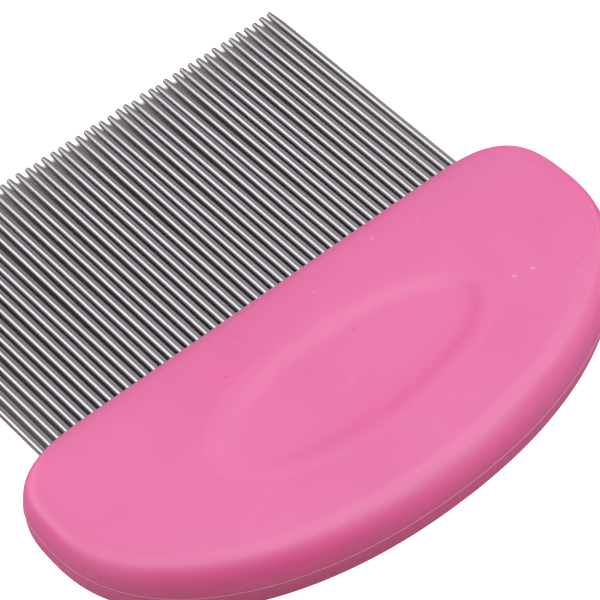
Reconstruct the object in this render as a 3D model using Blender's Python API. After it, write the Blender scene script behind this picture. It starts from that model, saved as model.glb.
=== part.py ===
"""Half-moon flea comb: a D-shaped plastic handle in two halves, a pin bar inside it, and fifty long
round steel pins.

Frame: metres, +Z up. The comb lies flat. X runs along the pin row, +Y is the way the pins point
(the front), and Z is the thickness. The origin is the middle of the comb's length and width, on
the plane that it rests on.
"""

import math

import bmesh
import bpy
from mathutils import Vector

MM = 0.001
QUARTER_TURN = math.pi / 2

# Whole comb
OVERALL_WIDTH = 67.0 * MM
OVERALL_LENGTH = 59.2 * MM
THICKNESS = 6.4 * MM
MIDDLE_Z = THICKNESS / 2  # the parting plane, and the pins' axis

# Handle outline: a flat front edge, two rounded front corners and a long bowed back. The powers
# are those of the superellipses that shape the corners and the back
HANDLE_DEPTH = 29.05 * MM
CORNER_WIDTH = 11.8 * MM
CORNER_DEPTH = 9.25 * MM
CORNER_POWER = 3.06
BACK_POWER = 2.11
BACK_Y = -OVERALL_LENGTH / 2
FRONT_Y = BACK_Y + HANDLE_DEPTH
WIDEST_Y = FRONT_Y - CORNER_DEPTH

# Handle edge: the section runs from the parting line round to the flat face as a quarter of a
# superellipse. The lower half is full all round. The upper half is full along the front edge and
# softens to nearly an ellipse round the back. Both turn in half the space along the front
LOWER_EDGE_INSET = 3.2 * MM
LOWER_EDGE_POWER = 4.4
UPPER_EDGE_INSET = 3.4 * MM
UPPER_EDGE_POWER = 3.4
SOFT_EDGE_INSET = 3.8 * MM
SOFT_EDGE_POWER = 2.1
SOFTEN_START = math.radians(5)  # outline angle, just in front of the widest point
SOFTEN_SPAN = math.radians(50)
FRONT_EDGE_SHARE = 0.5
PARTING_GAP = 0.04 * MM

# Finger recess, one ellipse in each face. Distances from the rim are measured inwards
RECESS_HALF_WIDTH = 17.4 * MM
RECESS_HALF_DEPTH = 7.6 * MM
RECESS_CENTRE_Y = -13.95 * MM
RECESS_SLOPE = 0.14  # steepest slope of the wall
RECESS_STEEPEST = 2.05 * MM  # distance of that slope from the rim
RECESS_OUTER_EASE = 1.35 * MM
RECESS_INNER_EASE = 1.15 * MM
RECESS_BOWL = 0.12 * MM
RECESS_FLOOR_SHARE = 0.40  # size of the flat floor as a share of the rim

# Pins
PIN_COUNT = 50
PIN_PITCH = 1.10 * MM
PIN_RADIUS = 0.44 * MM
PIN_TAPER = 3.2 * MM
PIN_TAPER_MIDDLE = 0.35  # share of the narrowing done half way along the taper
PIN_END_RADIUS = 0.29 * MM
PIN_END_ROUND = 0.22 * MM
PIN_END_FLAT = 0.45  # radius of the blunt tip as a share of the end radius
PIN_ROOT_Y = -8.1 * MM
PIN_STRAIGHT_Y = 1.0 * MM
PIN_TIP_Y = OVERALL_LENGTH / 2
PIN_LIFT = 0.05 * MM
PIN_SHORT = 0.18 * MM

# Sideways lean of the pins' tips, as a sum of waves along the row:
# height in mm, radians per pin, phase in radians
LEAN_WAVES = (
    (0.0627, 0.21, -2.59),
    (0.0399, 1.03, 0.22),
    (0.0513, 1.47, 1.83),
    (0.0437, 1.78, -1.05),
    (0.0456, 2.1, -0.05),
)

# Pin bar, the pocket that holds it and the channels round the pins
BAR_LENGTH = 57.0 * MM
BAR_DEPTH = 5.6 * MM
BAR_THICKNESS = 2.4 * MM
BAR_FRONT_Y = -3.1 * MM
BAR_BACK_Y = BAR_FRONT_Y - BAR_DEPTH
BAR_CORNER = 0.9 * MM
POCKET_CORNER = 1.0 * MM
POCKET_PLAY = 0.2 * MM
CHANNEL_PLAY = 0.02 * MM
CHANNEL_END_PLAY = 0.2 * MM
CHANNEL_FRONT_Y = 3.0 * MM  # clear of the handle's front edge

# Locating pegs on the lower half, and their sockets in the upper half
PEG_RADIUS = 1.2 * MM
PEG_HEIGHT = 1.2 * MM
PEG_CHAMFER = 0.2 * MM
PEG_PLAY = 0.15 * MM
PEG_OVERLAP = 0.6 * MM  # below the parting plane, sunk in the lower half
SOCKET_OVERCUT = 0.5 * MM  # below the parting plane, clear of the upper half
PEG_PLACES = (
    (-24.5 * MM, -10.5 * MM),
    (24.5 * MM, -10.5 * MM),
    (-17.5 * MM, -22.0 * MM),
    (17.5 * MM, -22.0 * MM),
    (0.0, -25.2 * MM),
)

# Mesh density
FRONT_STEPS = 4
CORNER_STEPS = 7
SIDE_STEPS = 16
EDGE_STEPS = 6
RECESS_STEPS = 7
PIN_SIDES = 10
PEG_SIDES = 20
BAR_CORNER_STEPS = 3


# Scene, materials and objects


def clear_scene():
    for obj in list(bpy.data.objects):
        bpy.data.objects.remove(obj, do_unlink=True)


def material(name, colour, roughness, metallic):
    made = bpy.data.materials.new(name)
    made.use_nodes = True
    shader = made.node_tree.nodes["Principled BSDF"]
    shader.inputs["Base Color"].default_value = (*colour, 1.0)
    shader.inputs["Roughness"].default_value = roughness
    shader.inputs["Metallic"].default_value = metallic
    made.diffuse_color = (*colour, 1.0)
    return made


def handle_plastic():
    return material(
        "handle_pink_plastic", colour=(0.82, 0.19, 0.42), roughness=0.42, metallic=0.0
    )


def bar_nylon():
    return material("pin_bar_nylon", colour=(0.80, 0.76, 0.68), roughness=0.55, metallic=0.0)


def pin_steel():
    return material("pin_stainless_steel", colour=(0.62, 0.61, 0.60), roughness=0.22, metallic=1.0)


def link(name, mesh):
    obj = bpy.data.objects.new(name, mesh)
    bpy.context.scene.collection.objects.link(obj)
    return obj


def piece(name, mesh, finish, sharp_degrees=35):
    """A visible piece, shaded smooth except at edges sharper than the angle."""
    mesh.shade_smooth()
    mesh.set_sharp_from_angle(angle=math.radians(sharp_degrees))
    mesh.materials.append(finish)
    return link(name, mesh)


def helper(name, mesh):
    """A shape that is only used by boolean modifiers."""
    obj = link(name, mesh)
    obj.hide_render = True
    obj.display_type = "WIRE"
    return obj


def boolean(obj, name, operation, other):
    modifier = obj.modifiers.new(name, "BOOLEAN")
    modifier.operation = operation
    modifier.solver = "EXACT"
    modifier.object = other


# Basic shapes


def finish_mesh(name, bm):
    mesh = bpy.data.meshes.new(name)
    bm.to_mesh(mesh)
    bm.free()
    return mesh


def loft(name, rings):
    """A closed skin through rings of equal count, with a flat cap on each end."""
    bm = bmesh.new()
    loops = [[bm.verts.new(point) for point in ring] for ring in rings]
    count = len(rings[0])
    for low, high in zip(loops, loops[1:]):
        for i in range(count):
            j = (i + 1) % count
            bm.faces.new((low[i], low[j], high[j], high[i]))
    bm.faces.new(list(reversed(loops[0])))
    bm.faces.new(loops[-1])
    bmesh.ops.recalc_face_normals(bm, faces=bm.faces)
    return finish_mesh(name, bm)


def merged(name, parts):
    """Several closed shapes in one mesh."""
    bm = bmesh.new()
    for part in parts:
        bm.from_mesh(part)
        bpy.data.meshes.remove(part)
    return finish_mesh(name, bm)


def circle(radius, sides):
    turns = [2 * math.pi * k / sides for k in range(sides)]
    return [(radius * math.cos(turn), radius * math.sin(turn)) for turn in turns]


def round_bar(name, stations):
    """A round bar along Y. Each station is a centre (x, y, z) and a radius."""
    rings = [
        [(x + across, y, z + up) for across, up in circle(radius, PIN_SIDES)]
        for (x, y, z), radius in stations
    ]
    return loft(name, rings)


def round_post(name, place, radius, bottom, top):
    """An upright round post with a chamfered top."""
    x, y = place
    levels = ((bottom, radius), (top - PEG_CHAMFER, radius), (top, radius - PEG_CHAMFER))
    rings = [
        [(x + across, y + along, z) for across, along in circle(level_radius, PEG_SIDES)]
        for z, level_radius in levels
    ]
    return loft(name, rings)


# Handle


def super_point(angle, width, depth, power):
    """A point on a quarter superellipse, from its width end at 0 to its depth end at 90 degrees."""
    # Rounding can take the cosine just below zero at 90 degrees
    cosine = max(math.cos(angle), 0.0)
    return width * cosine ** (2 / power), depth * math.sin(angle) ** (2 / power)


def smooth_step(t):
    t = min(1.0, max(0.0, t))
    return t * t * (3 - 2 * t)


def right_side(angle):
    """A point on the right half of the handle's outline.

    The angle runs from 90 degrees at the front corner's inner end, through 0 at the widest point,
    to -90 at the middle of the back.
    """
    half_width = OVERALL_WIDTH / 2
    if angle >= 0:
        x, y = super_point(angle, CORNER_WIDTH, CORNER_DEPTH, CORNER_POWER)
        return Vector((half_width - CORNER_WIDTH + x, WIDEST_Y + y))
    x, y = super_point(-angle, half_width, WIDEST_Y - BACK_Y, BACK_POWER)
    return Vector((x, WIDEST_Y - y))


def inward_direction(angle):
    """The unit direction into the handle, square to the right side of its outline."""
    if angle >= QUARTER_TURN:
        return Vector((0.0, -1.0))
    if angle <= -QUARTER_TURN:
        return Vector((0.0, 1.0))
    step = 1e-3
    before = min(angle + step, QUARTER_TURN)
    after = max(angle - step, -QUARTER_TURN)
    along = (right_side(after) - right_side(before)).normalized()
    return Vector((along.y, -along.x))


def handle_outline():
    """The handle's outline, anticlockwise from above, ending at the middle of the front edge.

    Each entry is a point, its inward direction, as long as the share of an inset that applies
    there, and the upper edge's softness, from 0 at the front to 1 at the back.
    """
    flat_reach = OVERALL_WIDTH / 2 - CORNER_WIDTH
    right = [
        (Vector((flat_reach * i / FRONT_STEPS, FRONT_Y)), Vector((0.0, -FRONT_EDGE_SHARE)), 0.0)
        for i in range(FRONT_STEPS)
    ]
    angles = [QUARTER_TURN * (1 - i / CORNER_STEPS) for i in range(CORNER_STEPS)]
    angles += [-QUARTER_TURN * i / SIDE_STEPS for i in range(SIDE_STEPS + 1)]
    for angle in angles:
        round_corner = smooth_step(1.0 - angle / QUARTER_TURN)
        share = FRONT_EDGE_SHARE + (1.0 - FRONT_EDGE_SHARE) * round_corner
        softness = smooth_step((SOFTEN_START - angle) / SOFTEN_SPAN)
        right.append((right_side(angle), inward_direction(angle) * share, softness))
    left = [
        (Vector((-point.x, point.y)), Vector((-inward.x, inward.y)), softness)
        for point, inward, softness in reversed(right[1:-1])
    ]
    return list(reversed(right + left))


def edge_ring(turn, up):
    """A ring of the handle's edge. The turn is 0 at the parting line, 90 degrees at the face."""
    ring = []
    for point, inward, softness in handle_outline():
        inset, power = LOWER_EDGE_INSET, LOWER_EDGE_POWER
        if up > 0:
            inset = UPPER_EDGE_INSET + (SOFT_EDGE_INSET - UPPER_EDGE_INSET) * softness
            power = UPPER_EDGE_POWER + (SOFT_EDGE_POWER - UPPER_EDGE_POWER) * softness
        x, z = super_point(turn, inset, MIDDLE_Z, power)
        place = point + inward * (inset - x)
        ring.append(Vector((place.x, place.y, MIDDLE_Z + up * max(z, PARTING_GAP / 2))))
    return ring


def recess_ring(outline, share):
    """The recess ellipse scaled by share, with a point towards each outline point."""
    ring = []
    for point in outline:
        x, y = point.x, point.y - RECESS_CENTRE_Y
        size = math.hypot(x / RECESS_HALF_WIDTH, y / RECESS_HALF_DEPTH)
        ring.append(Vector((x * share / size, RECESS_CENTRE_Y + y * share / size)))
    return ring


def recess_sink(rim_point, share):
    """How deep the recess is at a share of the way from its centre to a rim point.

    The wall eases in from the rim to its steepest slope, then eases out into a slightly hollow
    floor. Its width is nearly the same all round.
    """
    x, y = rim_point.x, rim_point.y - RECESS_CENTRE_Y
    steepness = math.hypot(x / RECESS_HALF_WIDTH**2, y / RECESS_HALF_DEPTH**2)
    past_steepest = (1.0 - share) / steepness - RECESS_STEEPEST
    outer, inner = RECESS_OUTER_EASE, RECESS_INNER_EASE
    run = outer * (math.erf(min(past_steepest, 0.0) / outer) + math.erf(RECESS_STEEPEST / outer))
    run += inner * math.erf(max(past_steepest, 0.0) / inner)
    bowl = RECESS_BOWL * (1.0 - share * share) ** 2
    return RECESS_SLOPE * math.sqrt(math.pi) / 2 * run + bowl


def half_mesh(name, up):
    """A solid half: from the parting face round the edge, over the face and into the recess."""
    rings = [edge_ring(QUARTER_TURN * i / EDGE_STEPS, up) for i in range(EDGE_STEPS + 1)]
    face = rings[-1]
    rim = recess_ring(face, 1.0)
    for i in range(RECESS_STEPS + 1):
        share = 1.0 - (1.0 - RECESS_FLOOR_SHARE) * i / RECESS_STEPS
        rings.append([
            (point.x, point.y, MIDDLE_Z + up * (MIDDLE_Z - recess_sink(rim_point, share)))
            for point, rim_point in zip(recess_ring(face, share), rim)
        ])
    return loft(name, rings)


def build_half(name, up, finish, pocket, channels):
    half = piece(name, half_mesh(name, up), finish)
    boolean(half, "pin_bar_pocket", "DIFFERENCE", pocket)
    boolean(half, "pin_channels", "DIFFERENCE", channels)
    return half


def peg_sockets():
    radius = PEG_RADIUS + PEG_PLAY
    bottom, top = MIDDLE_Z - SOCKET_OVERCUT, MIDDLE_Z + PEG_HEIGHT + 2 * PEG_PLAY
    posts = [round_post("socket", place, radius, bottom, top) for place in PEG_PLACES]
    return helper("peg_socket_cutter", merged("peg_sockets", posts))


def pegs():
    bottom, top = MIDDLE_Z - PEG_OVERLAP, MIDDLE_Z + PEG_HEIGHT
    posts = [round_post("peg", place, PEG_RADIUS, bottom, top) for place in PEG_PLACES]
    return helper("peg_shape", merged("pegs", posts))


# Pin bar


def bar_mesh(name, play, corner):
    """The pin bar's block, larger by the play on every side, with rounded upright edges."""
    low = (-BAR_LENGTH / 2 - play, BAR_BACK_Y - play, MIDDLE_Z - BAR_THICKNESS / 2 - play)
    high = (BAR_LENGTH / 2 + play, BAR_FRONT_Y + play, MIDDLE_Z + BAR_THICKNESS / 2 + play)
    bm = bmesh.new()
    bmesh.ops.create_cube(bm, size=1.0)
    for vert in bm.verts:
        vert.co = Vector([(a + b) / 2 + c * (b - a) for a, b, c in zip(low, high, vert.co)])
    upright = [
        edge for edge in bm.edges
        if abs(edge.verts[0].co.z - edge.verts[1].co.z) > (high[2] - low[2]) / 2
    ]
    bmesh.ops.bevel(
        bm, geom=upright, offset=corner, segments=BAR_CORNER_STEPS, profile=0.5, affect="EDGES"
    )
    bmesh.ops.recalc_face_normals(bm, faces=bm.faces)
    return finish_mesh(name, bm)


def bar_pocket():
    return helper("pin_bar_pocket_cutter", bar_mesh("pin_bar_pocket", POCKET_PLAY, POCKET_CORNER))


def build_bar(finish, channels):
    bar = piece("pin_bar", bar_mesh("pin_bar", 0.0, BAR_CORNER), finish)
    boolean(bar, "pin_holes", "DIFFERENCE", channels)


# Pins


def pin_x(i):
    return (i - (PIN_COUNT - 1) / 2) * PIN_PITCH


def pin_lean(i):
    """How far pin i leans sideways at the tip line."""
    return sum(height * math.sin(rate * i + phase) for height, rate, phase in LEAN_WAVES) * MM


def pin_lift(i):
    """How far pin i rises or falls at the tip line."""
    return PIN_LIFT * math.sin(1.71 * i + 0.9)


def pin_end(i):
    """Where pin i ends. Every seventh pin reaches the comb's full length."""
    if i % 7 == 3:
        return PIN_TIP_Y
    return PIN_TIP_Y - PIN_SHORT * (0.5 - 0.5 * math.cos(2.07 * i + 0.3))


def pin_channels():
    radius = PIN_RADIUS + CHANNEL_PLAY
    ends = (PIN_ROOT_Y - CHANNEL_END_PLAY, CHANNEL_FRONT_Y)
    channels = [
        round_bar("channel", [((pin_x(i), y, MIDDLE_Z), radius) for y in ends])
        for i in range(PIN_COUNT)
    ]
    return helper("pin_channel_cutter", merged("pin_channels", channels))


def build_pin(i, finish):
    """A pin that is straight inside the handle, then leans evenly and tapers to a blunt tip."""
    end = pin_end(i)
    profile = (  # y, radius
        (PIN_ROOT_Y, PIN_RADIUS),
        (PIN_STRAIGHT_Y, PIN_RADIUS),
        ((PIN_STRAIGHT_Y + end) / 2, PIN_RADIUS),
        (end - PIN_TAPER, PIN_RADIUS),
        (end - PIN_TAPER / 2, PIN_RADIUS - PIN_TAPER_MIDDLE * (PIN_RADIUS - PIN_END_RADIUS)),
        (end - PIN_END_ROUND, PIN_END_RADIUS),
        (end, PIN_END_RADIUS * PIN_END_FLAT),
    )
    stations = []
    for y, radius in profile:
        t = max(0.0, (y - PIN_STRAIGHT_Y) / (PIN_TIP_Y - PIN_STRAIGHT_Y))
        centre = (pin_x(i) + pin_lean(i) * t, y, MIDDLE_Z + pin_lift(i) * t)
        stations.append((centre, radius))
    name = f"pin_{i + 1:02d}"
    piece(name, round_bar(name, stations), finish, sharp_degrees=50)


def build():
    clear_scene()
    plastic = handle_plastic()
    nylon = bar_nylon()
    steel = pin_steel()

    channels = pin_channels()
    pocket = bar_pocket()
    sockets = peg_sockets()
    peg_shape = pegs()

    upper = build_half("handle_upper_half", 1, plastic, pocket, channels)
    boolean(upper, "peg_sockets", "DIFFERENCE", sockets)
    lower = build_half("handle_lower_half", -1, plastic, pocket, channels)
    boolean(lower, "locating_pegs", "UNION", peg_shape)

    build_bar(nylon, channels)
    for i in range(PIN_COUNT):
        build_pin(i, steel)


build()
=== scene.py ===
"""Half-moon flea comb: a pink D-shaped handle moulded in two halves, and a close row of long round
steel pins, lying flat on a pale studio floor. The pins point to the front (+Y), the round back of
the handle faces -Y, left is -X, and the halves part on the level plane z = MIDDLE_Z."""

import math

import bmesh
import bpy
from mathutils import Matrix, Vector, noise


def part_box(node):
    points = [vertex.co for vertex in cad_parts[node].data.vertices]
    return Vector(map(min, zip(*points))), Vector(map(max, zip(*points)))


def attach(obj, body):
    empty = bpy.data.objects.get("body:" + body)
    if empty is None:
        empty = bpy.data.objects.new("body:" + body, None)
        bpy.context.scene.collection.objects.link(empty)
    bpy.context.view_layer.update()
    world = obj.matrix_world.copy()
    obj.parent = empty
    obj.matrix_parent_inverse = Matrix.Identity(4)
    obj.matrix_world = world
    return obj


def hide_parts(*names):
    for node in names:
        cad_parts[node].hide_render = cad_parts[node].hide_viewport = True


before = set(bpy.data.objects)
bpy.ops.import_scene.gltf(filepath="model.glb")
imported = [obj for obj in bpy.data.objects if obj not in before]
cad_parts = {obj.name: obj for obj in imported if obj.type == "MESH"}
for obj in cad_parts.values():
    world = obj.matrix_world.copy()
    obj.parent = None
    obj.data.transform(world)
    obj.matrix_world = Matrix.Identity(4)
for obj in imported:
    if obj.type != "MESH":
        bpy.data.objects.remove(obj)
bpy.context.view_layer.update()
MM = 0.001

# --- sizes read from the frame --------------------------------------------------------------------
UPPER_LOW, UPPER_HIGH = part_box("handle_upper_half")
BAR_LOW, BAR_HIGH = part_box("pin_bar")
PINS = sorted(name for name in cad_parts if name.startswith("pin_") and name != "pin_bar")
PIN_BOXES = [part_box(name) for name in PINS]

HALF_WIDTH = (UPPER_HIGH.x - UPPER_LOW.x) / 2
FRONT_Y, BACK_Y = UPPER_HIGH.y, UPPER_LOW.y
TOP_Z, BOTTOM_Z = UPPER_HIGH.z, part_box("handle_lower_half")[0].z
MIDDLE_Z = (TOP_Z + BOTTOM_Z) / 2
HALF_THICK = TOP_Z - MIDDLE_Z
GAP = UPPER_LOW.z - MIDDLE_Z  # from the middle plane to the parting face of a half
TIP_Y = max(high.y for low, high in PIN_BOXES)
ROOT_Y = min(low.y for low, high in PIN_BOXES)
PIN_COUNT = len(PINS)
FIRST_X, LAST_X = ((low.x + high.x) / 2 for low, high in (PIN_BOXES[0], PIN_BOXES[-1]))
PITCH_STEP = 0.05 * MM
PITCH = round((LAST_X - FIRST_X) / (PIN_COUNT - 1) / PITCH_STEP) * PITCH_STEP

# --- handle sizes ---------------------------------------------------------------------------------
# Outline: superellipse quarters, one at each front corner and one for each side of the back
CORNER_WIDTH, CORNER_DEPTH, CORNER_POWER = 11.8 * MM, 9.25 * MM, 3.2
BACK_POWER = 2.11
WIDEST_Y = FRONT_Y - CORNER_DEPTH
HANDLE_ASIDE = 0.12 * MM  # the handle sits this far to the right of the row of pins

# Rounded edge: inset of the flat face and superellipse power. The upper half goes from the firm
# edge in front to the soft one round the back.
LOWER_EDGE_INSET, LOWER_EDGE_POWER = 3.2 * MM, 4.4
FIRM_EDGE_INSET, FIRM_EDGE_POWER = 3.4 * MM, 3.4
SOFT_EDGE_INSET, SOFT_EDGE_POWER = 3.8 * MM, 2.1
FRONT_EDGE_SHARE = 0.5  # share of the inset that the front edge keeps
EDGE_START = GAP + 0.16 * MM  # height where the rounded edge begins, above the flash line

# Flash line left by the mould: (share of its reach, height above the parting face in mm)
FLASH_PROFILE = ((0.0, 0.0), (0.8, 0.0), (1.0, 0.035), (0.8, 0.075), (0.0, 0.10))
UPPER_FLASH, LOWER_FLASH = 0.09 * MM, 0.05 * MM

# Oval recess in each face
RECESS_HALF_WIDTH, RECESS_HALF_DEPTH = 17.4 * MM, 7.6 * MM
RECESS_X, RECESS_Y = 0.0, -13.95 * MM
RECESS_SLOPE = 0.14  # slope of the wall where it is steepest
RECESS_LEFT_EASE = 0.40  # share of that slope lost at the left end
RECESS_STEEPEST = 2.05 * MM  # distance of the steepest place from the rim
RECESS_OUTER, RECESS_INNER = 1.35 * MM, 1.15 * MM  # how far the slope spreads to either side
RECESS_BOWL = 0.12 * MM  # extra depth in the middle
RECESS_WALL_SHARE = 0.66  # share of the radius that gets closely spaced rings

# Pegs on the lower half and their sockets in the upper one: places (x, y) in mm
PEG_PLACES = ((-24.5, -10.5), (24.5, -10.5), (-17.5, -22.0), (17.5, -22.0), (0.0, -25.2))

# --- pin sizes ------------------------------------------------------------------------------------
PIN_RADIUS, END_RADIUS = 0.44 * MM, 0.305 * MM
TAPER = 3.0 * MM
TAPER_POWER = 1.6
ROOT_CHAMFER, ROOT_INSET = 0.12 * MM, 0.10 * MM  # length and depth
TIP_EXTRA = 0.08 * MM  # how far a pin reaches past its box
DOME_END = 5.4  # dome rings that would make a full quarter turn; five are built
STRAIGHT_Y = 1.0 * MM  # the pins lean only in front of this
# Sideways lean at the tip, summed over (reach in mm, rate per pin, phase)
LEAN_WAVES = (
    (0.0627, 0.21, -2.59), (0.0399, 1.03, 0.22), (0.0513, 1.47, 1.83),
    (0.0437, 1.78, -1.05), (0.0456, 2.1, -0.05),
)

# --- camera and floor values ----------------------------------------------------------------------
AZIMUTH, ELEVATION, ROLL = (math.radians(angle) for angle in (-40.329, 51.235, -1.416))
# direction from the comb to the camera
SEEN = Vector((
    math.sin(AZIMUTH) * math.cos(ELEVATION),
    -math.cos(AZIMUTH) * math.cos(ELEVATION),
    math.sin(ELEVATION),
))
AIM = Vector((3.494 * MM, -2.24 * MM, MIDDLE_Z))
DISTANCE = 293.22 * MM
SENSOR_WIDTH, LENS = 36.0, 178.0476  # in mm, as Blender takes them
FLOOR_BOUNCE = (0.50, 0.44, 0.41)
# darker floor colour painted under the row of pins as their shadow
FLOOR_PAINTED_SHADOW = (0.225, 0.20, 0.183)
FLOOR_GLOW = 1.2


# --- node helpers ---------------------------------------------------------------------------------
class Nodes:
    """A short way to write a node tree over the surface position, `place`."""

    def __init__(self, tree):
        self.tree = tree
        self.place = self.add("ShaderNodeNewGeometry").outputs["Position"]

    def add(self, kind, values=None, **settings):
        node = self.tree.nodes.new(kind)
        for key, setting in settings.items():
            setattr(node, key, setting)
        self.fill(node, values or {})
        return node

    def fill(self, node, values):
        """Set or link the node's inputs, keyed by name or number."""
        for key, value in values.items():
            socket = node.inputs[key]
            if isinstance(value, tuple):
                socket.default_value = (*value, 1.0) if socket.type == "RGBA" else value
            elif isinstance(value, (int, float)):
                socket.default_value = value
            else:
                self.tree.links.new(value, socket)

    def math(self, operation, *operands, clamp=False):
        values = dict(enumerate(operands))
        node = self.add("ShaderNodeMath", values, operation=operation, use_clamp=clamp)
        return node.outputs[0]

    def plus(self, first, second):
        return self.math("ADD", first, second)

    def minus(self, first, second):
        return self.math("SUBTRACT", first, second)

    def times(self, first, second, clamp=False):
        return self.math("MULTIPLY", first, second, clamp=clamp)

    def over(self, first, second, clamp=False):
        return self.math("DIVIDE", first, second, clamp=clamp)

    def gain(self, value, factor, offset, clamp=False):
        return self.math("MULTIPLY_ADD", value, factor, offset, clamp=clamp)

    def hypot(self, first, second):
        return self.math("SQRT", self.plus(self.times(first, first), self.times(second, second)))

    def rise(self, value, start, length):
        """0 up to start, then climbing to 1 over the length."""
        beyond = self.plus(value, -start) if start < 0 else self.minus(value, start)
        return self.over(beyond, length, clamp=True)

    def fall(self, value, end, length):
        """0 from end upwards, climbing to 1 over the length below it."""
        return self.over(self.minus(end, value), length, clamp=True)

    def mix(self, factor, base, other, blend="MIX"):
        values = {0: factor, 6: base, 7: other}
        return self.add("ShaderNodeMix", values, data_type="RGBA", blend_type=blend).outputs[2]

    def tint(self, colour, factor, by):
        return self.mix(factor, colour, by, "MULTIPLY")

    def ramp(self, value, stops, ease=False):
        """A grey ramp through (position, grey) stops."""
        node = self.add("ShaderNodeValToRGB", {0: value})
        node.color_ramp.interpolation = "EASE" if ease else "LINEAR"
        elements = node.color_ramp.elements
        elements.remove(elements[-1])
        elements[0].position = stops[0][0]
        elements[0].color = (*[stops[0][1]] * 3, 1.0)
        for position, grey in stops[1:]:
            elements.new(position).color = (grey, grey, grey, 1.0)
        return node.outputs[0]

    def noise(self, scale, detail=2.0, roughness=0.5, distortion=0.0, vector=None):
        values = {"Scale": scale, "Detail": detail, "Roughness": roughness}
        values["Distortion"] = distortion
        values["Vector"] = self.place if vector is None else vector
        return self.add("ShaderNodeTexNoise", values).outputs[0]

    def stretched(self, scale, turn=0.0):
        """The place, scaled and then turned about Z."""
        values = {"Scale": scale, "Rotation": (0, 0, turn), "Vector": self.place}
        return self.add("ShaderNodeMapping", values).outputs[0]

    def distance(self, vector, point):
        node = self.add("ShaderNodeVectorMath", {0: vector, 1: point}, operation="DISTANCE")
        return node.outputs["Value"]

    def split(self):
        return tuple(self.add("ShaderNodeSeparateXYZ", {0: self.place}).outputs)

    def bump(self, height, strength, distance):
        values = {"Strength": strength, "Distance": distance, "Height": height}
        return self.add("ShaderNodeBump", values).outputs[0]


def new_material(name):
    made = bpy.data.materials.new(name)
    made.use_nodes = True
    tree = made.node_tree
    return made, Nodes(tree), tree.nodes["Principled BSDF"]


# --- handle plastic -------------------------------------------------------------------------------
# In this section x, y and lengths on the handle are in mm
PINK = (0.879, 0.1505, 0.4050)
# Painted glow colours for the rounded side: a deeper, brighter pink standing in for light passing
# through the plastic
SIDE_PAINTED_GLOW = (0.950, 0.104, 0.360)
SIDE_PAINTED_GLOW_LEFT = (0.84, 0.090, 0.312)
SIDE_PAINTED_GLOW_RIGHT = (0.895, 0.104, 0.360)

# Shares of a tint over the height, most of them painted light or shade: (distance from the middle
# plane / HALF_THICK, share)
SIDE_GLOW_STOPS = ((0.0, 0.75), (0.20, 0.85), (0.42, 1.0), (0.70, 1.0), (0.83, 0.12), (0.88, 0.0))
SIDE_HIGH_GLOW_STOPS = (
    (0.0, 0.75), (0.20, 0.85), (0.42, 1.0), (0.82, 1.0), (0.87, 0.70), (0.91, 0.25), (0.94, 0.0),
)
BELT_SHADE_STOPS = ((0.50, 0.0), (0.62, 0.55), (0.76, 1.0), (0.84, 0.5), (0.90, 0.1), (0.92, 0.0))
LOW_SIDE_SHADING_STOPS = ((0.0, 0.9), (0.50, 1.0), (0.60, 0.3), (0.68, 0.0))
SHOULDER_SHADE_STOPS = ((0.88, 0.0), (0.945, 1.0), (0.985, 0.7), (1.0, 0.0))
SEAM_GLINT_STOPS = ((0.0, 1.0), (0.024, 1.0), (0.036, 0.0))
BESIDE_SEAM_STOPS = ((0.036, 0.0), (0.05, 1.0), (0.08, 0.5), (0.14, 0.0))

# Brightness over the front band: (share of the way to the front, brightness)
FRONT_STOPS = (
    (0.0, 1.0), (0.40, 0.985), (0.60, 0.965), (0.727, 0.95), (0.82, 0.92),
    (0.864, 0.885), (0.91, 0.84), (0.955, 0.79), (1.0, 0.74),
)
# Shade on the recess wall: (distance in from the rim / WALL_REACH, share)
WALL_REACH = 6.0
WALL_STOPS = (
    (0.0, 0.0), (0.12, 0.15), (0.22, 0.50), (0.325, 1.0), (0.37, 1.0),
    (0.45, 0.55), (0.55, 0.25), (0.75, 0.08), (1.0, 0.0),
)
# Tiny blemishes: x, y, radius, and how dark (above 0) or pale (below 0)
BLEMISHES = (
    (3.55, -10.19, 0.25, 0.22), (-9.6, -6.5, 0.16, 0.26), (-5.6, -3.5, 0.14, 0.30),
    (1.5, -5.2, 0.13, 0.26), (23.4, -2.7, 0.12, 0.35), (17.5, -4.95, 0.11, 0.35),
    (25.1, -19.1, 0.16, 0.30), (16.8, -23.6, 0.12, 0.35), (12.3, -3.1, 0.16, -0.32),
    (3.5, -4.4, 0.13, -0.25), (19.28, -15.97, 0.16, -0.38), (19.52, -16.03, 0.15, -0.38),
    (21.28, -16.47, 0.17, -0.38), (21.56, -16.55, 0.15, -0.38),
)
BLEMISH_SPREAD, BLEMISH_STRENGTH = 1.5, 1.6


def pink_times(red, green, blue):
    return PINK[0] * red, PINK[1] * green, PINK[2] * blue


def mottled_pink(net):
    """The base colour: broad soft clouds and fainter, finer drifts."""
    cloud = net.noise(scale=90.0, detail=3.0, roughness=0.55)
    cloud = net.ramp(cloud, ((0.3, 0.0), (0.7, 1.0)), ease=True)
    colour = net.mix(cloud, pink_times(0.975, 0.975, 0.975), pink_times(1.015, 1.04, 1.03))
    drift = net.noise(
        scale=260.0, distortion=0.6, vector=net.stretched(scale=(0.6, 1.6, 1.0), turn=0.25)
    )
    drift = net.ramp(drift, ((0.45, 0.0), (0.75, 1.0)), ease=True)
    drift_strength = 0.08
    return net.mix(net.times(drift, drift_strength), colour, pink_times(0.98, 1.25, 1.12))


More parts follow.
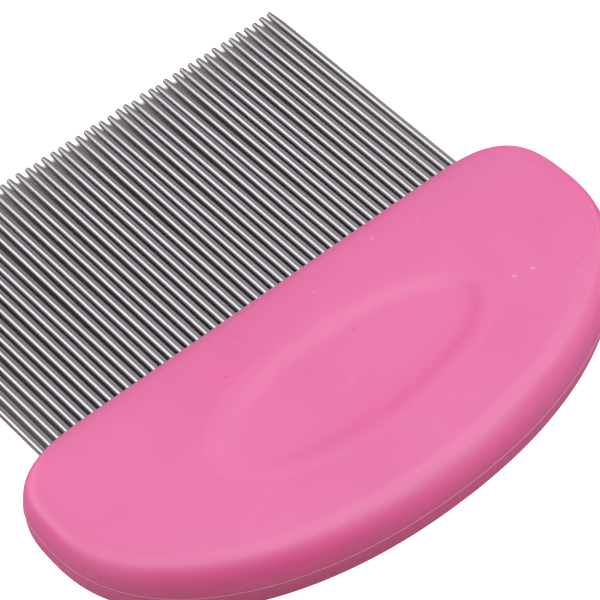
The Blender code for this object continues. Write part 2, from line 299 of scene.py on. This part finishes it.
def add_swirl(net, colour):
    """A faint swirl where the plastic flowed round on its way in."""
    squeeze, turn = 1.5, 0.35
    centre = Vector((-19.0 * MM, -18.6 * MM * squeeze, TOP_Z))
    centre.rotate(Matrix.Rotation(turn, 3, "Z").to_euler())
    away = net.distance(net.stretched((1.0, squeeze, 1.0), turn), tuple(centre))
    away = net.over(away, MM)
    waviness, ring_rate, strength = 22.0, 1.5, 0.20
    wobble = net.noise(scale=150.0, detail=1.0)
    wave = net.math("SINE", net.gain(wobble, waviness, net.times(away, ring_rate)))
    wave = net.times(net.gain(wave, 0.5, 0.5), net.fall(away, end=9.0, length=5.0))
    return net.mix(net.times(wave, strength), colour, pink_times(0.99, 0.80, 0.90))


def add_painted_side_glow(net, colour, x, height, outside):
    """Painted glow on the rounded side: a deeper pink standing in for light passing through the
    plastic, reaching higher away from the middle, with painted light and shade in bands along it.
    """
    side = net.ramp(height, SIDE_GLOW_STOPS)
    side_high = net.ramp(height, SIDE_HIGH_GLOW_STOPS)
    from_middle = net.math("ABSOLUTE", net.minus(x, -1.0))
    off_middle = net.rise(from_middle, start=5.0, length=8.0)
    side = net.plus(
        net.times(side, net.minus(1.0, off_middle)), net.times(side_high, off_middle)
    )
    side = net.times(side, outside)
    # the painted glow drops to this share at the left end
    end_share = 0.45
    left_end = net.gain(net.rise(x, start=-33.5, length=5.0), 1.0 - end_share, end_share)
    side = net.times(side, left_end)
    # painted light on the side at the left end
    left_painted_light = net.times(net.minus(1.0, left_end), side_high)

    along = net.rise(x, start=-24.0, length=24.0)
    rightwards = net.rise(x, start=4.0, length=8.0)
    glow_colour = net.mix(rightwards, net.mix(along, SIDE_PAINTED_GLOW_LEFT, SIDE_PAINTED_GLOW), SIDE_PAINTED_GLOW_RIGHT)
    # painted shade in a belt high up the right side
    belt_shade = net.ramp(height, BELT_SHADE_STOPS)
    glow_colour = net.tint(glow_colour, net.times(belt_shade, rightwards), by=(1.0, 0.76, 0.90))
    # painted light low on the right side, painted shade low on the left side
    low_side_shading = net.ramp(height, LOW_SIDE_SHADING_STOPS)
    glow_colour = net.tint(glow_colour, net.times(low_side_shading, rightwards), by=(1.0, 1.13, 1.08))
    leftwards = net.times(
        net.fall(x, end=-5.0, length=7.0), net.rise(x, start=-32.5, length=5.0)
    )
    glow_colour = net.tint(glow_colour, net.times(low_side_shading, leftwards), by=(0.94, 0.86, 0.89))
    colour = net.mix(side, colour, glow_colour)
    left_strength = 1.6
    left_painted_light = net.times(left_painted_light, left_strength, clamp=True)
    return net.tint(colour, left_painted_light, by=(1.11, 1.06, 1.12))


def add_painted_face_shading(net, colour, x, y, height, share, outside):
    """Painted light and shade over the face, the shoulder and the front band, as slight shifts of
    colour.
    """
    # painted shade on the recess floor
    recess_floor_shade = net.ramp(share, ((0.60, 1.0), (0.90, 0.0)), ease=True)
    colour = net.tint(colour, recess_floor_shade, by=(1.0, 0.96, 0.985))
    # painted light towards the left, the front right and the back
    left_light = net.fall(x, end=-4.0, length=12.0)
    colour = net.tint(colour, left_light, by=(1.018, 1.075, 1.028))
    front_right_light = net.times(
        net.rise(x, start=15.0, length=10.0), net.rise(y, start=-15.0, length=6.0)
    )
    colour = net.tint(colour, front_right_light, by=(0.975, 1.07, 1.015))
    back = net.fall(y, end=-9.0, length=12.0)
    colour = net.tint(colour, back, by=(1.0, 1.09, 1.045))
    # painted shade on the shoulder
    shoulder = net.ramp(height, SHOULDER_SHADE_STOPS, ease=True)
    colour = net.tint(colour, net.times(shoulder, outside), by=(0.970, 0.77, 0.90))
    # the front band loses light into the gaps between the pins, but not beside the row
    front = net.ramp(net.rise(y, start=-5.6, length=4.4), FRONT_STOPS)
    row_reach = 33.5
    beside = net.over(net.math("ABSOLUTE", x), row_reach)
    beside = net.ramp(beside, ((0.76, 0.0), (0.88, 1.0)), ease=True)
    return net.tint(colour, 1.0, by=net.math("MAXIMUM", front, beside))


def add_recess_shade(net, colour, recess_x, recess_y, share):
    """Shade on the recess wall, strongest where it lies to the back and right."""
    slant_x = net.over(recess_x, RECESS_HALF_WIDTH / MM)
    slant_y = net.over(recess_y, RECESS_HALF_DEPTH / MM)
    steep = net.hypot(slant_x, slant_y)
    least_steep = 1e-4  # keeps the divisions safe in the middle
    from_rim = net.over(
        net.times(net.minus(1.0, share), share), net.math("MAXIMUM", steep, least_steep)
    )
    wall = net.ramp(net.over(from_rim, WALL_REACH), WALL_STOPS)
    right_weight, back_weight = 0.60, 0.80
    facing = net.over(
        net.minus(net.times(slant_x, right_weight), net.times(slant_y, back_weight)),
        net.math("MAXIMUM", steep, least_steep),
    )
    facing = net.gain(facing, factor=0.85, offset=0.15, clamp=True)
    strength = 0.48
    shade = net.times(net.times(wall, facing), strength)
    return net.mix(shade, colour, pink_times(0.85, 0.45, 0.66))


def add_seam_glint_and_wear(net, colour, height):
    """A pale line along the seam, partly a painted glint where the flash ridge catches the light
    and partly slight wear, with a darker one on either side of it.
    """
    seam_strength, beside_strength = 0.8, 0.25
    seam = net.times(net.ramp(height, SEAM_GLINT_STOPS), seam_strength)
    # pale colour: painted glint on the flash ridge, with slight wear
    colour = net.mix(seam, colour, (0.47, 0.200, 0.365))
    beside = net.times(net.ramp(height, BESIDE_SEAM_STOPS), beside_strength)
    return net.mix(beside, colour, pink_times(0.75, 0.6, 0.65))


def add_specks(net, colour):
    """The listed blemishes, and a scatter of fine dark specks."""
    level = net.add("ShaderNodeVectorMath", {0: net.place, 1: (1.0, 1.0, 0.0)},
                    operation="MULTIPLY").outputs["Vector"]
    for x, y, radius, dark in BLEMISHES:
        away = net.over(
            net.distance(level, (x * MM, y * MM, 0.0)), radius * BLEMISH_SPREAD * MM
        )
        inside = net.math("SUBTRACT", 1.0, away, clamp=True)
        spot = net.times(inside, abs(dark) * BLEMISH_STRENGTH, clamp=True)
        colour = net.mix(spot, colour, (0.30, 0.07, 0.16) if dark > 0 else (0.90, 0.55, 0.70))
    cells = net.add("ShaderNodeTexVoronoi", {"Scale": 260.0, "Vector": net.place}, feature="F1")
    threshold, speck_size, strength = 0.69, 0.035, 0.30
    chance = net.noise(scale=900.0, detail=0.0, vector=cells.outputs["Position"])
    keep = net.math("GREATER_THAN", chance, threshold)
    speck = net.times(keep, net.math("LESS_THAN", cells.outputs["Distance"], speck_size))
    return net.mix(net.times(speck, strength), colour, (0.45, 0.10, 0.22))


def handle_bump(net):
    """Fine moulded grain, faint flow ripples and fine rub marks."""
    grain = net.noise(scale=5200.0)
    flow = net.noise(
        scale=240.0, detail=1.0, distortion=1.6, vector=net.stretched((1.0, 2.2, 1.0), turn=-0.5)
    )
    rubs = net.noise(
        scale=420.0, detail=1.0, roughness=0.4, vector=net.stretched((1.0, 22.0, 1.0), turn=0.5)
    )
    rubs = net.ramp(rubs, ((0.60, 0.0), (0.66, 1.0)), ease=True)
    flow_height, rub_height = 3.0, -0.35
    height = net.gain(rubs, rub_height, net.gain(flow, flow_height, grain))
    return net.bump(height, strength=0.05, distance=0.00005)


def handle_plastic():
    """Moulded pink plastic with a satin skin."""
    made, net, shader = new_material("handle_pink_plastic")
    x, y, z = net.split()
    x, y = net.over(x, MM), net.over(y, MM)
    height = net.over(net.math("ABSOLUTE", net.minus(z, MIDDLE_Z)), HALF_THICK)
    # how far out of the recess: 0 in its middle, 1 at its rim
    recess_x = net.over(net.minus(x, RECESS_X / MM), RECESS_HALF_WIDTH / MM)
    recess_y = net.over(net.minus(y, RECESS_Y / MM), RECESS_HALF_DEPTH / MM)
    share = net.hypot(recess_x, recess_y)
    rim_margin = 1.02
    outside = net.math("GREATER_THAN", share, rim_margin)

    colour = add_swirl(net, mottled_pink(net))
    colour = add_painted_side_glow(net, colour, x, height, outside)
    colour = add_painted_face_shading(net, colour, x, y, height, share, outside)
    colour = add_recess_shade(net, colour, recess_x, recess_y, share)
    colour = add_seam_glint_and_wear(net, colour, height)
    colour = add_specks(net, colour)
    fine = net.noise(scale=1500.0, detail=3.0, roughness=0.6)
    net.fill(shader, {
        "Base Color": colour,
        "Roughness": net.gain(fine, factor=0.08, offset=0.35),
        "IOR": 1.825,
        "Specular IOR Level": 0.5,
        "Normal": handle_bump(net),
    })
    return made


# --- pin and bar materials ------------------------------------------------------------------------
def pin_steel():
    """Polished stainless wire with fine marks along it, darker and duller towards the tip."""
    made, net, shader = new_material("pin_stainless_steel")
    ground_start = 19.0 * MM
    towards_tip = net.rise(net.split()[1], ground_start, TIP_Y - ground_start)
    ground = net.times(towards_tip, towards_tip)
    marks = net.noise(scale=9000.0, roughness=0.6, vector=net.stretched((1.0, 0.035, 1.0)))
    patches = net.noise(scale=700.0, vector=net.stretched((1.0, 0.25, 1.0)))
    colour = net.mix(patches, (0.454, 0.430, 0.452), (0.545, 0.526, 0.561))
    ground_colour, ground_rough = 0.60, 0.24  # strength of the change at the tip
    net.fill(shader, {
        "Base Color": net.mix(net.times(ground, ground_colour), colour, (0.33, 0.315, 0.345)),
        "Metallic": 1.0,
        "Roughness": net.gain(ground, ground_rough, net.gain(marks, factor=0.08, offset=0.07)),
        "Normal": net.bump(marks, strength=0.08, distance=0.00002),
    })
    return made


def bar_nylon():
    """Cream nylon, slightly cloudy."""
    made, net, shader = new_material("pin_bar_nylon")
    cloud = net.noise(scale=300.0, detail=3.0)
    net.fill(shader, {
        "Base Color": net.mix(cloud, (0.74, 0.70, 0.61), (0.84, 0.80, 0.72)),
        "Roughness": net.gain(net.noise(scale=2500.0), factor=0.15, offset=0.45),
    })
    return made


# --- handle outline and surfaces ------------------------------------------------------------------
def super_point(angle, width, depth, power):
    """A point on a superellipse quarter, angle 0 on its width axis."""
    cosine, sine = max(math.cos(angle), 0.0), max(math.sin(angle), 0.0)
    return width * cosine ** (2 / power), depth * sine ** (2 / power)


def right_side(angle):
    """The right half of the outline, from the front corner (pi/2) to the middle back (-pi/2)."""
    if angle >= 0:
        x, y = super_point(angle, CORNER_WIDTH, CORNER_DEPTH, CORNER_POWER)
        return Vector((HALF_WIDTH - CORNER_WIDTH + x, WIDEST_Y + y))
    x, y = super_point(-angle, HALF_WIDTH, WIDEST_Y - BACK_Y, BACK_POWER)
    return Vector((x, WIDEST_Y - y))


def even_angles(start, end, count, samples=2000):
    """Angles that split the outline into steps of equal length, end left out."""
    points = [right_side(start + (end - start) * i / samples) for i in range(samples + 1)]
    run = [0.0]
    for here, following in zip(points, points[1:]):
        run.append(run[-1] + (following - here).length)
    found, k = [], 0
    for i in range(count):
        wanted = run[-1] * i / count
        while run[k + 1] < wanted:
            k += 1
        share = (wanted - run[k]) / max(run[k + 1] - run[k], 1e-12)
        found.append(start + (end - start) * (k + share) / samples)
    return found


def smooth_step(share):
    share = min(1.0, max(0.0, share))
    return share * share * (3 - 2 * share)


def base_outline():
    """(point, inwards direction times share of the inset, softness of the upper edge) for each
    point, anticlockwise from above, ending in the middle of the front edge."""
    front_steps, corner_steps, side_steps = ((20, 30, 64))
    quarter, step = math.pi / 2, 1e-3
    reach = HALF_WIDTH - CORNER_WIDTH
    found = [
        (Vector((reach * i / front_steps, FRONT_Y)), Vector((0.0, -FRONT_EDGE_SHARE)), 0.0)
        for i in range(front_steps)
    ]
    angles = even_angles(quarter, 0.0, corner_steps) + even_angles(0.0, -quarter, side_steps)
    for angle in angles + [-quarter]:
        before, after = min(angle + step, quarter), max(angle - step, -quarter)
        along = (right_side(after) - right_side(before)).normalized()
        if angle >= quarter - 1e-6:
            along = Vector((1.0, 0.0))
        if angle <= -quarter + 1e-6:
            along = Vector((-1.0, 0.0))
        share = FRONT_EDGE_SHARE + (1.0 - FRONT_EDGE_SHARE) * smooth_step(1.0 - angle / quarter)
        softness = smooth_step((math.radians(5) - angle) / math.radians(50))
        found.append((right_side(angle), Vector((along.y, -along.x)) * share, softness))
    left = [
        (Vector((-point.x, point.y)), Vector((-inwards.x, inwards.y)), softness)
        for point, inwards, softness in reversed(found[1:-1])
    ]
    aside = Vector((HANDLE_ASIDE, 0.0))
    return [(point + aside, *rest) for point, *rest in reversed(found + left)]


BASE = base_outline()


def edge_ring(share, sign):
    """A ring of the rounded edge, from EDGE_START at share 0 to the flat face at share 1.
    Its z is the distance from the middle plane."""
    ring = []
    for point, inwards, softness in BASE:
        inset, power = LOWER_EDGE_INSET, LOWER_EDGE_POWER
        if sign > 0:
            inset = FIRM_EDGE_INSET + (SOFT_EDGE_INSET - FIRM_EDGE_INSET) * softness
            power = FIRM_EDGE_POWER + (SOFT_EDGE_POWER - FIRM_EDGE_POWER) * softness
        start = math.asin((EDGE_START / HALF_THICK) ** (power / 2))
        angle = start + (math.pi / 2 - start) * share
        out, z = super_point(angle, inset, HALF_THICK, power)
        place = point + inwards * (inset - out)
        ring.append((place.x, place.y, z))
    return ring


def recess_ring(points, share):
    """The points moved, towards or from the recess centre, onto the oval of this share."""
    ring = []
    for point in points:
        x, y = point.x - RECESS_X, point.y - RECESS_Y
        size = math.hypot(x / RECESS_HALF_WIDTH, y / RECESS_HALF_DEPTH)
        ring.append(Vector((RECESS_X + x * share / size, RECESS_Y + y * share / size)))
    return ring


def recess_sink(x, y, share):
    """How deep the recess is at a share of its width, towards the rim point x, y."""
    x, y = x - RECESS_X, y - RECESS_Y
    from_rim = (1.0 - share) / math.hypot(x / RECESS_HALF_WIDTH**2, y / RECESS_HALF_DEPTH**2)
    past = from_rim - RECESS_STEEPEST
    outer_start = math.erf(RECESS_STEEPEST / RECESS_OUTER)
    run = RECESS_OUTER * (math.erf(min(past, 0.0) / RECESS_OUTER) + outer_start)
    run += RECESS_INNER * math.erf(max(past, 0.0) / RECESS_INNER)
    slope = RECESS_SLOPE * (1.0 - RECESS_LEFT_EASE * smooth_step(-x / RECESS_HALF_WIDTH))
    return slope * math.sqrt(math.pi) / 2 * run + RECESS_BOWL * (1.0 - share * share) ** 2


def skin_sink(x, y, sign):
    """Slight sink marks and flow ripples of the moulded skin, always inwards."""
    broad_depth, ripple_depth = 0.030, 0.012
    place = Vector((x / MM, y / MM, 7.0 if sign > 0 else 31.0))
    broad = noise.noise(place * 0.09) * 0.5 + 0.5
    across = place.x * 0.22 + place.y * 0.12
    along = place.y * 0.55 - place.x * 0.1
    ripple = noise.noise(Vector((across, along, place.z))) * 0.5 + 0.5
    return (broad_depth * broad + ripple_depth * ripple) * MM


def half_rings(sign):
    """Rings from the parting face over the flash line, round the edge and into the recess."""

    def at_height(x, y, height):
        return x, y, MIDDLE_Z + sign * height

    edge_steps, face_steps, wall_steps = ((26, 12, 34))
    flash = UPPER_FLASH if sign > 0 else LOWER_FLASH
    rings = [
        [
            at_height(*(point - inwards.normalized() * flash * reach), GAP + height * MM)
            for point, inwards, _ in BASE
        ]
        for reach, height in FLASH_PROFILE
    ]
    for i in range(edge_steps + 1):
        ring = []
        for x, y, z in edge_ring(i / edge_steps, sign):
            fade = max(0.0, min(1.0, (z / HALF_THICK - 0.9) / 0.1))
            ring.append(at_height(x, y, z - skin_sink(x, y, sign) * fade))
        rings.append(ring)

    face = [Vector((x, y)) for x, y, _ in edge_ring(1.0, sign)]
    rim = recess_ring(face, 1.0)
    for i in range(1, face_steps):
        points = [outer.lerp(inner, i / face_steps) for outer, inner in zip(face, rim)]
        rings.append([at_height(x, y, HALF_THICK - skin_sink(x, y, sign)) for x, y in points])

    shares = [1.0 - RECESS_WALL_SHARE * i / wall_steps for i in range(wall_steps + 1)]
    shares += [(1.0 - RECESS_WALL_SHARE) * (1 - i / 7) for i in range(1, 7)]
    for share in shares:
        ring = []
        for (x, y), edge in zip(recess_ring(face, share), rim):
            sink = recess_sink(edge.x, edge.y, share)
            ring.append(at_height(x, y, HALF_THICK - sink - skin_sink(x, y, sign)))
        rings.append(ring)
    return rings


# --- mesh helpers ---------------------------------------------------------------------------------
def finish_mesh(name, draft):
    mesh = bpy.data.meshes.new(name)
    draft.to_mesh(mesh)
    draft.free()
    return mesh


def loft(name, rings):
    """A closed skin through the rings, capped at both ends."""
    draft = bmesh.new()
    loops = [[draft.verts.new(point) for point in ring] for ring in rings]
    count = len(rings[0])
    for low, high in zip(loops, loops[1:]):
        for i in range(count):
            j = (i + 1) % count
            draft.faces.new((low[i], low[j], high[j], high[i]))
    draft.faces.new(list(reversed(loops[0])))
    draft.faces.new(loops[-1])
    bmesh.ops.recalc_face_normals(draft, faces=draft.faces)
    return finish_mesh(name, draft)


def link(name, mesh, finish=None):
    made = bpy.data.objects.new(name, mesh)
    bpy.context.scene.collection.objects.link(made)
    if finish:
        mesh.materials.append(finish)
    return made


def smooth(mesh, degrees):
    mesh.shade_smooth()
    mesh.set_sharp_from_angle(angle=math.radians(degrees))


def stand_in(made, node):
    """Tell the frame that this object takes the node's place."""
    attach(made, "root")
    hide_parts(node)


def circle(radius, sides):
    turns = [2 * math.pi * k / sides for k in range(sides)]
    return [(radius * math.cos(turn), radius * math.sin(turn)) for turn in turns]


def tube(name, stations, sides):
    """A tube along Y through (centre, radius) stations."""
    return loft(name, [
        [(x + across, y, z + rise) for across, rise in circle(radius, sides)]
        for (x, y, z), radius in stations
    ])


def many(name, parts):
    """The parts joined into one mesh."""
    draft = bmesh.new()
    for part in parts:
        draft.from_mesh(part)
        bpy.data.meshes.remove(part)
    return finish_mesh(name, draft)


def cut(target, operation, mesh):
    """A Boolean with a throwaway cutter, applied."""
    cutter = link("cutter", mesh)
    modifier = target.modifiers.new("cut", "BOOLEAN")
    modifier.operation, modifier.solver, modifier.object = operation, "EXACT", cutter
    graph = bpy.context.evaluated_depsgraph_get()
    result = bpy.data.meshes.new_from_object(target.evaluated_get(graph))
    target.modifiers.clear()
    old = target.data
    target.data = result
    bpy.data.meshes.remove(old)
    bpy.data.objects.remove(cutter, do_unlink=True)
    bpy.data.meshes.remove(mesh)


# --- handle ---------------------------------------------------------------------------------------
def posts(name, radius, below, above, sides=40):
    """Upright posts with a rounded top at the peg places."""
    bottom, top = MIDDLE_Z - below, MIDDLE_Z + above
    profile = (
        (bottom, radius),
        (top - 0.2 * MM, radius),
        (top - 0.06 * MM, radius - 0.06 * MM),
        (top, radius - 0.2 * MM),
    )
    return many(name, [
        loft("post", [
            [(x * MM + dx, y * MM + dy, z) for dx, dy in circle(ring_radius, sides)]
            for z, ring_radius in profile
        ])
        for x, y in PEG_PLACES
    ])


def pocket():
    """The space for the pin bar: a box with rounded upright edges and some play."""
    play = 0.2 * MM
    low, high = [c - play for c in BAR_LOW], [c + play for c in BAR_HIGH]
    draft = bmesh.new()
    bmesh.ops.create_cube(draft, size=1.0)
    for vert in draft.verts:
        vert.co = Vector([(a + b) / 2 + c * (b - a) for a, b, c in zip(low, high, vert.co)])
    half_height = (high[2] - low[2]) / 2
    upright = [
        edge for edge in draft.edges
        if abs(edge.verts[0].co.z - edge.verts[1].co.z) > half_height
    ]
    bmesh.ops.bevel(
        draft, geom=upright, offset=1.0 * MM, segments=6, profile=0.5, affect="EDGES"
    )
    bmesh.ops.recalc_face_normals(draft, faces=draft.faces)
    return finish_mesh("pocket", draft)


def pin_x(i):
    return (i - (PIN_COUNT - 1) / 2) * PITCH


def channels():
    """The round channels that the pins lie in."""
    radius = PIN_RADIUS + 0.02 * MM
    ends = (ROOT_Y - 0.2 * MM, 3 * MM)
    return many("channels", [
        tube("channel", [((pin_x(i), y, MIDDLE_Z), radius) for y in ends], sides=20)
        for i in range(PIN_COUNT)
    ])


def build_half(node, sign, plastic):
    half = link(node + "_moulding", loft(node + "_skin", half_rings(sign)), plastic)
    cut(half, "DIFFERENCE", pocket())
    cut(half, "DIFFERENCE", channels())
    if sign > 0:
        sockets = posts("sockets", radius=1.35 * MM, below=0.5 * MM, above=1.5 * MM)
        cut(half, "DIFFERENCE", sockets)
    else:
        pegs = posts("pegs", radius=1.2 * MM, below=0.6 * MM, above=1.2 * MM)
        cut(half, "UNION", pegs)
    smooth(half.data, 38)
    stand_in(half, node)


# --- pins -----------------------------------------------------------------------------------------
def pin_lean(i):
    return sum(reach * math.sin(rate * i + phase) for reach, rate, phase in LEAN_WAVES) * MM


def pin_lift(i):
    return 0.05 * MM * math.sin(1.71 * i + 0.9)


def pin_wire(i):
    """One pin: a straight wire, a long taper and a rounded end, leaning a little."""
    sides, body_steps, taper_steps = ((28, 16, 14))
    low, high = PIN_BOXES[i]
    tip, body_start = high.y + TIP_EXTRA, low.y + ROOT_CHAMFER
    profile = [(low.y, PIN_RADIUS - ROOT_INSET), (body_start, PIN_RADIUS)]
    for k in range(1, body_steps + 1):
        profile.append((body_start + (tip - TAPER - body_start) * k / body_steps, PIN_RADIUS))
    dome = END_RADIUS * 0.98
    for k in range(1, taper_steps + 1):
        share = k / taper_steps
        radius = PIN_RADIUS + (END_RADIUS - PIN_RADIUS) * share**TAPER_POWER
        profile.append((tip - TAPER + (TAPER - dome) * share, radius))
    last_sine = math.sin(math.pi / 2 * 5 / DOME_END)
    for k in range(1, 6):
        angle = math.pi / 2 * k / DOME_END
        y = tip - dome + dome * math.sin(angle) / last_sine
        profile.append((y, END_RADIUS * math.cos(angle)))
    stations = []
    for y, radius in profile:
        share = max(0.0, (y - STRAIGHT_Y) / (TIP_Y - STRAIGHT_Y))
        centre = (pin_x(i) + pin_lean(i) * share, y, MIDDLE_Z + pin_lift(i) * share)
        stations.append((centre, radius))
    return tube(PINS[i] + "_wire", stations, sides)


# --- floor, camera and light ----------------------------------------------------------------------
def floor_material():
    """Clean white to the camera, apart from a darker strip painted under the close row of pins as
    their shadow;
    it bounces a little warm light."""
    made, net, shader = new_material("studio_floor")
    x, y, _ = net.split()
    # where the camera sees the row of pins on the floor, and the painted shadow lies
    shift_x, shift_y = SEEN.x / SEEN.z * MIDDLE_Z, SEEN.y / SEEN.z * MIDDLE_Z
    # coordinate, edge of the strip, softness, and the side of the edge that lies outside
    edges = (
        (x, pin_x(PIN_COUNT - 1) - shift_x, 0.2 * MM, 1),
        (x, pin_x(0) - shift_x, 0.2 * MM, -1),
        (y, TIP_Y - shift_y - 0.85 * MM, 0.8 * MM, 1),
        (y, -2 * MM, 0.6 * MM, -1),
    )
    first, *others = [
        net.times(net.minus(value, edge), sign / soft, clamp=True)
        for value, edge, soft, sign in edges
    ]
    outside = first
    for other in others:
        outside = net.math("MAXIMUM", outside, other)
    seen = net.add("ShaderNodeLightPath").outputs["Is Camera Ray"]
    net.fill(shader, {
        "Roughness": 0.9,
        "Specular IOR Level": 0.0,
        "Base Color": net.mix(outside, FLOOR_PAINTED_SHADOW, FLOOR_BOUNCE),
        "Emission Color": (1, 1, 1),
        "Emission Strength": net.times(net.times(outside, seen), FLOOR_GLOW),
    })
    return made


def build_floor():
    """A wide sheet that curls up at its edges, so that no horizon shows."""
    steps, reach = 24, 3.0
    flat_radius, curl, clearance = 1.6, 0.12, 0.00002
    draft = bmesh.new()
    places = [reach * (i / steps) * abs(i / steps) for i in range(-steps, steps + 1)]
    grid = []
    for x in places:
        row = []
        for y in places:
            far = max(0.0, math.hypot(x, y) - flat_radius)
            row.append(draft.verts.new((x, y, BOTTOM_Z - clearance + curl * far * far)))
        grid.append(row)
    for row, following in zip(grid, grid[1:]):
        for j in range(2 * steps):
            draft.faces.new((row[j], following[j], following[j + 1], row[j + 1]))
    mesh = finish_mesh("floor", draft)
    mesh.shade_smooth()
    link("floor", mesh, floor_material())


def set_camera():
    lens = bpy.data.cameras.new("camera")
    lens.sensor_width, lens.lens = SENSOR_WIDTH, LENS
    lens.clip_start, lens.clip_end = 0.01, 20.0
    camera = link("camera", lens)
    level = Vector((math.cos(AZIMUTH), math.sin(AZIMUTH), 0.0))
    upright = SEEN.cross(level)
    right = level * math.cos(ROLL) + upright * math.sin(ROLL)
    upward = upright * math.cos(ROLL) - level * math.sin(ROLL)
    rows = [(right[i], upward[i], SEEN[i], AIM[i] + SEEN[i] * DISTANCE) for i in range(3)]
    camera.matrix_world = Matrix((*rows, (0, 0, 0, 1)))
    bpy.context.scene.camera = camera


def soft_light(name, azimuth, elevation, strength):
    """A large soft panel far away, seen as a disc 34 degrees across and as bright as an even sky
    of that strength."""
    lamp = bpy.data.lights.new(name, "SUN")
    half = math.radians(17)
    lamp.angle = 2 * half
    lamp.energy = strength * math.pi * math.sin(half) ** 2
    turn, tilt = math.radians(azimuth), math.radians(elevation)
    towards = Vector((
        math.cos(tilt) * math.cos(turn), math.cos(tilt) * math.sin(turn), math.sin(tilt)
    ))
    link(name, lamp).rotation_euler = (-towards).to_track_quat("-Z", "Y").to_euler()


# A light tent of rings of soft panels. For each ring: elevation, azimuth of its first panel from
# +X towards +Y, and the panels' strengths at even steps
LIGHT_TENT = (
    (90, 0, (1.24,)),
    (62, 0, (1.78, 0.13, 1.04, 0.86, 0.26, 0.73)),
    (34, 18, (0.54, 0.19, 1.11, 1.67, 0.62, 0.32, 0.0, 0.0, 0.64, 1.14)),
    (8, 0, (1.02, 0.29, 0.58, 0.79, 1.12, 0.0, 0.38, 0.12, 0.0, 0.0, 0.62, 1.10)),
)
ROOM = 0.134  # grey of the room around the tent


def set_lights():
    for ring, (elevation, first, strengths) in enumerate(LIGHT_TENT):
        for k, strength in enumerate(strengths):
            if strength > 0:
                azimuth = first + 360 * k / len(strengths)
                soft_light(f"panel_{ring}_{k}", azimuth, elevation, strength)
    world = bpy.data.worlds.new("studio")
    bpy.context.scene.world = world
    world.use_nodes = True
    world.node_tree.nodes["Background"].inputs["Color"].default_value = (ROOM, ROOM, ROOM, 1)


# --- build ----------------------------------------------------------------------------------------
plastic, steel, nylon = handle_plastic(), pin_steel(), bar_nylon()
build_half("handle_upper_half", 1, plastic)
build_half("handle_lower_half", -1, plastic)
for i, node in enumerate(PINS):
    wire = pin_wire(i)
    smooth(wire, 60)
    stand_in(link(node + "_polished", wire, steel), node)
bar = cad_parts["pin_bar"]
bar.data.materials.clear()
bar.data.materials.append(nylon)

set_camera()
build_floor()
set_lights()
view = bpy.context.scene.view_settings
view.view_transform, view.look = "Standard", "None"
view.exposure, view.gamma = 0.0, 1.0
